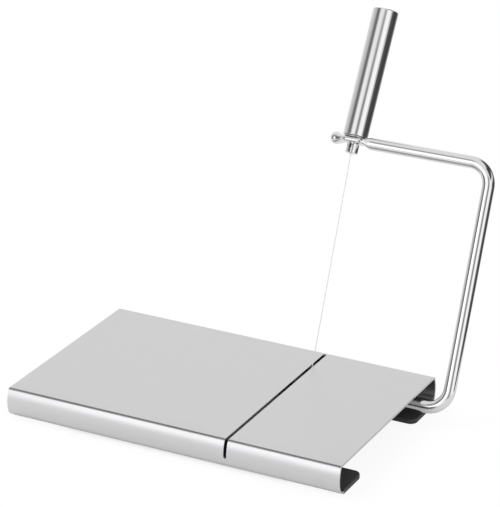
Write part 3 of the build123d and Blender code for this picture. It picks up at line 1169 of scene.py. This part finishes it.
def nut_shape(growth):
    """Hexagon nut about each point, its lower corners turned off."""
    half, height = growth.given("Across corners") * 0.5, growth.given("Height")
    hexagon = growth.bar(6, half, height)
    cone = growth.node(
        "GeometryNodeMeshCone",
        {"Vertices": 64, "Radius Top": half * 2.6, "Radius Bottom": half * 0.87, "Depth": height},
        fill_type="NGON",
    )
    down = growth.node("ShaderNodeCombineXYZ", {2: height * -0.5})
    lowered = growth.node("GeometryNodeTransform", {"Geometry": cone, "Translation": down})
    chamfered = growth.node(
        "GeometryNodeMeshBoolean", {"Mesh 2": [hexagon, lowered]},
        operation="INTERSECT", solver="EXACT",
    )
    bored = growth.node(
        "GeometryNodeMeshBoolean",
        {"Mesh 1": chamfered, "Mesh 2": growth.bar(40, growth.given("Bore"), height * 2)},
        operation="DIFFERENCE", solver="EXACT",
    )
    return growth.on_points(bored)


# Wire and beads

WIRE_STEPS = 60


class SLICER_OT_wire(bpy.types.Operator):
    """Stretch the cutting wire between its two crimped beads."""

    bl_idname = "slicer.wire"
    bl_label = "Cutting wire"

    def execute(self, context):
        h = sizes("handle")
        lower, upper, way = wire_ends()
        first, last = lower - way * h.bead_radius, upper + way * h.bead_radius
        points = [first.lerp(last, k / WIRE_STEPS) for k in range(WIRE_STEPS + 1)]
        inputs = {"Radius": h.wire_radius, "Sides": 16}
        wire = grown("taut_wire", points, "wire_steel", wire_shape, inputs)
        finish_piece(wire, None, "wire_steel", "cutting_wire")
        past_notch = AXLE.y - low("board").y + h.slack_clearance
        lower + way * past_notch
        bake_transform(wire)
        hole, half = h.wire_radius + h.crimp_play, h.bead_radius
        profile = ring_profile(
            hole, h.bead_radius, -half, half, h.bead_bore_round, h.bead_round, steps=6
        )
        for node, centre, body in (
            ("lower_wire_bead", lower, "bow"), ("upper_wire_bead", upper, "tension_screw"),
        ):
            bead = turned(node + "_crimped", profile, centre, way, 48)
            finish_piece(bead, body, "plated_steel", node)
        return {"FINISHED"}


# Handle and tension screw

class SLICER_OT_handle(bpy.types.Operator):
    """Turn the handle's tube, end cap, bush and seat washer."""

    bl_idname = "slicer.handle"
    bl_label = "Handle"

    def execute(self, context):
        h = sizes("handle")
        inner = h.bore_radius - h.push_play
        face = h.rim - h.cap_recess
        back = face - h.cap_length
        seat = sizes("bow").eye_half_thickness
        tube = rounded([
            (h.bore_radius, h.base, 0), (h.base_radius, h.base, h.base_round),
            (h.rim_radius, h.rim, h.rim_round), (h.bore_radius, h.rim, h.bore_round),
        ], steps=8)
        cap = rounded([
            (0, face, 0), (inner, face, h.cap_round), (inner, back, h.cap_round), (0, back, 0),
        ], closed=False)
        bush = ring_profile(
            h.bush_hole, inner, h.base, h.base + h.bush_length, h.bush_hole_round, h.bush_round
        )
        washer = ring_profile(
            h.washer_hole, h.washer_radius, seat, seat + h.washer_thickness,
            h.bore_round, h.washer_round,
        )
        for name, profile, body, slot, node in (
            ("handle_sleeve", tube, "handle", "bright_steel", "handle_tube"),
            ("handle_plug", cap, "handle", "bright_steel", "handle_end_cap"),
            ("handle_nut", bush, "handle", "brass", "handle_bush"),
            ("seat_ring", washer, "bow", "plated_steel", "seat_washer"),
        ):
            finish_piece(turned(name, profile, EYE, HANDLE_UP, h.segments), body, slot, node)
        return {"FINISHED"}


class SLICER_OT_screw(bpy.types.Operator):
    """Turn the tension screw, mill its flats and cut its keyhole."""

    bl_idname = "slicer.screw"
    bl_label = "Tension screw"

    def execute(self, context):
        b, h = sizes("bow"), sizes("handle")
        sides = 96
        top = -b.eye_half_thickness - h.head_gap
        bottom, end = top - h.head_length, top + h.shank_length
        head = rounded([
            (0, bottom, 0), (h.head_radius, bottom, h.head_round),
            (h.head_radius, top, h.head_round), (h.shank_radius, top, 0),
        ], closed=False, steps=5)
        full = flatted_circle(h.shank_radius, h.shank_half_flat, sides)
        tip = h.shank_radius - h.head_round, h.shank_half_flat - h.head_round
        slim = flatted_circle(*tip, sides)
        sections = [(flatted_circle(radius, radius, sides), place) for radius, place in head[1:-1]]
        sections += [(full, top), (full, end - h.head_round), (slim, end)]
        rings = [
            [EYE + HANDLE_UP * place + ALONG * u + HANDLE_FRONT * v for u, v in section]
            for section, place in [([(0, 0)], bottom), *sections, ([(0, 0)], end)]
        ]
        piece = new_piece("tension_stud", *skin(rings))
        hole, deep, half = top - h.bead_hole_depth, 2 * h.head_radius, h.wire_slit / 2
        drill(piece, b.bead_hole_radius, 0, deep, EYE + HANDLE_UP * hole, HANDLE_FRONT)
        under = bottom - h.head_round
        slit = [(-half, under), (half, under), (half, hole), (-half, hole)]
        cut(piece, prism("slit", slit, 0, deep, EYE, ALONG, HANDLE_UP, HANDLE_FRONT))
        finish_piece(piece, "tension_screw", "bright_steel", "tension_screw")
        return {"FINISHED"}


# Bearings and their fasteners

def block_outline():
    """Side outline of a bearing block about the axle's middle, split and bored in one line."""
    s = sizes("bearing")
    boss, bore = s.bore_radius + s.wall, s.bore_radius
    top = high("board").z - sizes("sheet").thickness - AXLE.z
    lip = s.lip_bottom - AXLE.z
    upper, lower = s.pinch_rise + s.pinch_gap / 2, s.pinch_rise - s.pinch_gap / 2

    def turn_at(radius, height):
        """Turn at which a circle about the axle reaches a height in front of it."""
        return atan2(height, -sqrt(radius**2 - height**2))

    points = [(s.rear_foot, top)]
    points += arc(boss, 0, turn_at(boss, lip), 30)
    points += [(-s.front_foot, lip), (-s.front_foot, lower)]
    points += arc(bore, turn_at(bore, lower), turn_at(bore, upper) + 2 * pi, 64)
    points += [(-s.front_foot, upper), (-s.front_foot, top)]
    return points


def stud_points():
    """Places of the studs, at the height of their foot ends."""
    nodes = [f"bearing_stud_{n}" for n in range(1, 5)]
    return [Vector((*middle(node).xy, low(node).z)) for node in nodes]


class SLICER_OT_blocks(bpy.types.Operator):
    """Mould the two split bearing blocks."""

    bl_idname = "slicer.blocks"
    bl_label = "Bearing blocks"

    def execute(self, context):
        s = sizes("bearing")
        for node in ("left_bearing_block", "right_bearing_block"):
            left, right = low(node).x, high(node).x
            piece = prism(node + "_moulded", block_outline(), left, right, AXLE, BACK, UP, ALONG)
            soften(piece, s.edge_round)
            for point in stud_points():
                if left < point.x < right:
                    drill(piece, s.stud_hole, 0, 2 * span(node, 2), point, UP)
            finish_piece(piece, "base", "black_plastic", node)
        return {"FINISHED"}


class SLICER_OT_fasteners(bpy.types.Operator):
    """Set the weld studs, their washers and their nuts."""

    bl_idname = "slicer.fasteners"
    bl_label = "Fasteners"

    def execute(self, context):
        s = sizes("bearing")
        stud_radius = span("bearing_stud_1") / 2
        for kind, shape, inputs in (
            ("stud", stud_shape, {
                "Radius": stud_radius, "Pitch": s.thread_pitch, "Depth": s.thread_depth,
                "Threaded": s.lip_bottom - low("bearing_stud_1").z,
            }),
            ("washer", washer_shape, {
                "Inner": s.stud_hole, "Outer": span("bearing_washer_1") / 2, "Edge": s.washer_edge,
            }),
            ("nut", nut_shape, {
                "Across corners": span("bearing_nut_1"),
                "Bore": stud_radius + sizes("handle").crimp_play,
            }),
        ):
            nodes = [f"bearing_{kind}_{n}" for n in range(1, 5)]
            inputs["Height"] = span(nodes[0], 2)
            points = stud_points() if kind == "stud" else [middle(node) for node in nodes]
            piece = grown(f"bearing_{kind}s", points, "plated_steel", shape, inputs)
            finish_piece(piece, "base", "plated_steel", *nodes)
        return {"FINISHED"}


# Stage

# Brightness all round the object, which only its gloss shows: direction in degrees and level
RING_LEVELS = (
    (-180, 0.62), (-164, 0.5), (-152, 0.2), (-134, 0.16), (-121, 0.55), (-110, 1.08), (-86, 1.06),
    (-72, 0.42), (-62, 0.17), (-54, 0.36), (-40, 1.02), (-18, 1.12), (-7, 0.75), (6, 0.09),
    (40, 0.05), (58, 0.1), (82, 0.4), (112, 0.86), (150, 0.8), (180, 0.62),
)
# Heights in degrees between which that gives way to the brightness overhead, and its level
OVERHEAD = (34, 46, 0.8)
# Soft cards before both: level, and the four ends in degrees, sideways and up, of its fading
CARDS = (
    (0.4, (-132, -123, -106, -98), (-9, -6, -2, 1)),
    (1.55, (-132, -123, -106, -98), (-3, 3, 24, 34)),
    (0.32, (-175, -160, -114, -104), (39, 44, 54, 60)),
    (0.7, (-12, 0, 44, 55), (9, 17, 29, 34)),
    (0.06, (-40, -20, 78, 90), (29, 34, 60, 68)),
    (0.06, (50, 58, 78, 90), (2, 8, 31, 36)),
)
# Corners of the grey card in front of the board, which only the wall's gloss shows
FLAG_CORNERS = tuple(
    (x, y, 0.045) for x, y in ((-0.135, -0.1), (0.112, -0.1), (0.112, -0.127), (-0.135, -0.127))
)
LAMP_PLACE, LAMP_AIM = Vector((-0.35, -0.25, 0.75)), Vector((0, -0.05, 0))
# For X and Y, how far inside the board's edges the unlit floor starts and ends
UNLIT_RIMS = ((0.05, 0.026), (0.02, 0.002))


def floor_material():
    """Pale floor that looks white where nothing shades it, and stays unlit under the board."""
    shader = Shader(bpy.data.materials.new("pale_floor"))
    shade = sizes("stage").floor_shade
    matt = shader.matt(8, shade * 0.99, shade)
    white = shader.node("ShaderNodeEmission", {"Color": (1, 1, 1, 1), "Strength": 1.05})
    seen = shader.node("ShaderNodeLightPath", out="Is Camera Ray")
    place = shader.node("ShaderNodeSeparateXYZ", {0: shader.place()})
    under = 1
    for axis, (inside, rim) in enumerate(UNLIT_RIMS):
        away = (place.other(axis) - middle("board")[axis]).maths("ABSOLUTE")
        edge = high("board")[axis] - middle("board")[axis]
        under = (1 - away.rising(edge - inside, edge - rim)) * under
    share_white = (seen * 0.86 + seen.other("Is Glossy Ray") * 0.2) * (1 - under)
    return shader.close(shader.node("ShaderNodeMixShader", {0: share_white, 1: matt, 2: white}))


def flag_material():
    """Matt grey card."""
    shader = Shader(bpy.data.materials.new("flag"))
    return shader.close(shader.matt(6, 0.26, 0.3))


def sideways(direction):
    """Share of the turn round the object at a direction in degrees."""
    return direction / 360 + 0.5


def upwards(direction):
    """Height on a sphere of radius one at a direction in degrees."""
    return sin(radians(direction))


def studio_world():
    """Even light, a white background, and brightness round the object that only gloss shows."""
    world = bpy.data.worlds.new("studio")
    shader = Shader(world)
    way = shader.node("ShaderNodeTexCoord", out="Generated")
    x = shader.node("ShaderNodeSeparateXYZ", {0: way})
    y, z = x.other("Y"), x.other("Z")
    turn = y.maths("ARCTAN2", x).maths("DIVIDE", 2 * pi) + 0.5
    stops = [(sideways(direction), level) for direction, level in RING_LEVELS]
    ring = shader.node("ShaderNodeValToRGB", {"Fac": turn}, stops=stops)
    start, end, level = OVERHEAD
    shown = shader.mix(z.rising(upwards(start), upwards(end)), ring, (level,) * 3)
    for level, sides, heights in CARDS:
        mask = turn.within(sides, sideways) * z.within(heights, upwards)
        shown = shader.mix(mask, shown, (level,) * 3)
    rays = shader.node("ShaderNodeLightPath", out="Is Camera Ray")
    even = (sizes("stage").fill_light,) * 3
    lit = shader.mix(rays.other("Is Glossy Ray"), even, shown)
    light = shader.node("ShaderNodeBackground", {"Color": shader.mix(rays, lit, (1, 1, 1))})
    bpy.context.scene.world = shader.close(light, "World")


def stage_piece(name, corners, material):
    """Flat piece of the stage."""
    piece = linked(name, meshed(name, corners, faces=[tuple(range(len(corners)))]))
    piece.data.materials.append(material)
    return piece


class SLICER_OT_stage(bpy.types.Operator):
    """Lay the floor, light it, and set the camera at the picture's angle."""

    bl_idname = "slicer.stage"
    bl_label = "Stage"

    def execute(self, context):
        s = sizes("stage")
        offset = Vector((s.floor_offset, s.floor_offset, s.floor_gap))
        rim = [
            Vector((cos(turn), sin(turn), 0)) * s.floor_radius - offset for turn in around(96)
        ]
        stage_piece("floor", rim, floor_material())
        flag = stage_piece("flag", FLAG_CORNERS, flag_material())
        flag.visible_camera = flag.visible_diffuse = flag.visible_shadow = False
        studio_world()
        lamp = bpy.data.lights.new("soft_lamp", "AREA")
        lamp.energy = s.lamp_power
        lamp.shape = "DISK"
        lamp.size = s.lamp_size
        holder = linked("soft_lamp", lamp)
        holder.location = LAMP_PLACE
        holder.rotation_euler = (LAMP_AIM - LAMP_PLACE).to_track_quat("-Z", "Y").to_euler()
        holder.visible_glossy = False
        camera = bpy.data.cameras.new("camera")
        camera.sensor_fit = "VERTICAL"
        camera.sensor_height = 36
        camera.lens = s.lens
        camera.clip_end = 10
        back = Vector((sin(s.turn) * cos(s.height), -cos(s.turn) * cos(s.height), sin(s.height)))
        eye = linked("camera", camera)
        eye.matrix_world = (
            Matrix.Translation(Vector(s.target) + back * s.distance)
            @ back.to_track_quat("Z", "Y").to_matrix().to_4x4()
            @ Matrix.Rotation(s.roll, 4, "Z")
        )
        context.scene.camera = eye
        context.scene.view_settings.view_transform = "Standard"
        return {"FINISHED"}


# Panel and registration

STEPS = (
    SLICER_OT_stage,
    SLICER_OT_board,
    SLICER_OT_feet,
    SLICER_OT_bow,
    SLICER_OT_axle_fittings,
    SLICER_OT_wire,
    SLICER_OT_handle,
    SLICER_OT_screw,
    SLICER_OT_blocks,
    SLICER_OT_fasteners,
)


class SLICER_PT_panel(bpy.types.Panel):
    """Steps that build the slicer, and its sizes and colours."""

    bl_idname = "SLICER_PT_panel"
    bl_label = "Wire slicer"
    bl_space_type = "VIEW_3D"
    bl_region_type = "UI"
    bl_category = "Slicer"

    def draw(self, context):
        for step in STEPS:
            self.layout.operator(step.bl_idname)
        for name, group in GROUPS.items():
            box = self.layout.box()
            box.label(text=name.capitalize())
            for label in group.__annotations__:
                box.prop(sizes(name), label)


def register():
    """Register the classes and hang the groups of sizes on the scene."""
    for kind in (*GROUPS.values(), *STEPS, SLICER_PT_panel):
        bpy.utils.register_class(kind)
    for name, group in GROUPS.items():
        setattr(bpy.types.Scene, "slicer_" + name, PointerProperty(type=group))


def unregister():
    """Undo what register did."""
    for name in GROUPS:
        delattr(bpy.types.Scene, "slicer_" + name)
    for kind in (SLICER_PT_panel, *STEPS, *GROUPS.values()):
        bpy.utils.unregister_class(kind)


def main():
    """Build the slicer step by step."""
    register()
    for step in STEPS:
        group, name = step.bl_idname.split(".")
        getattr(getattr(bpy.ops, group), name)()


if __name__ == "__main__":
    main()
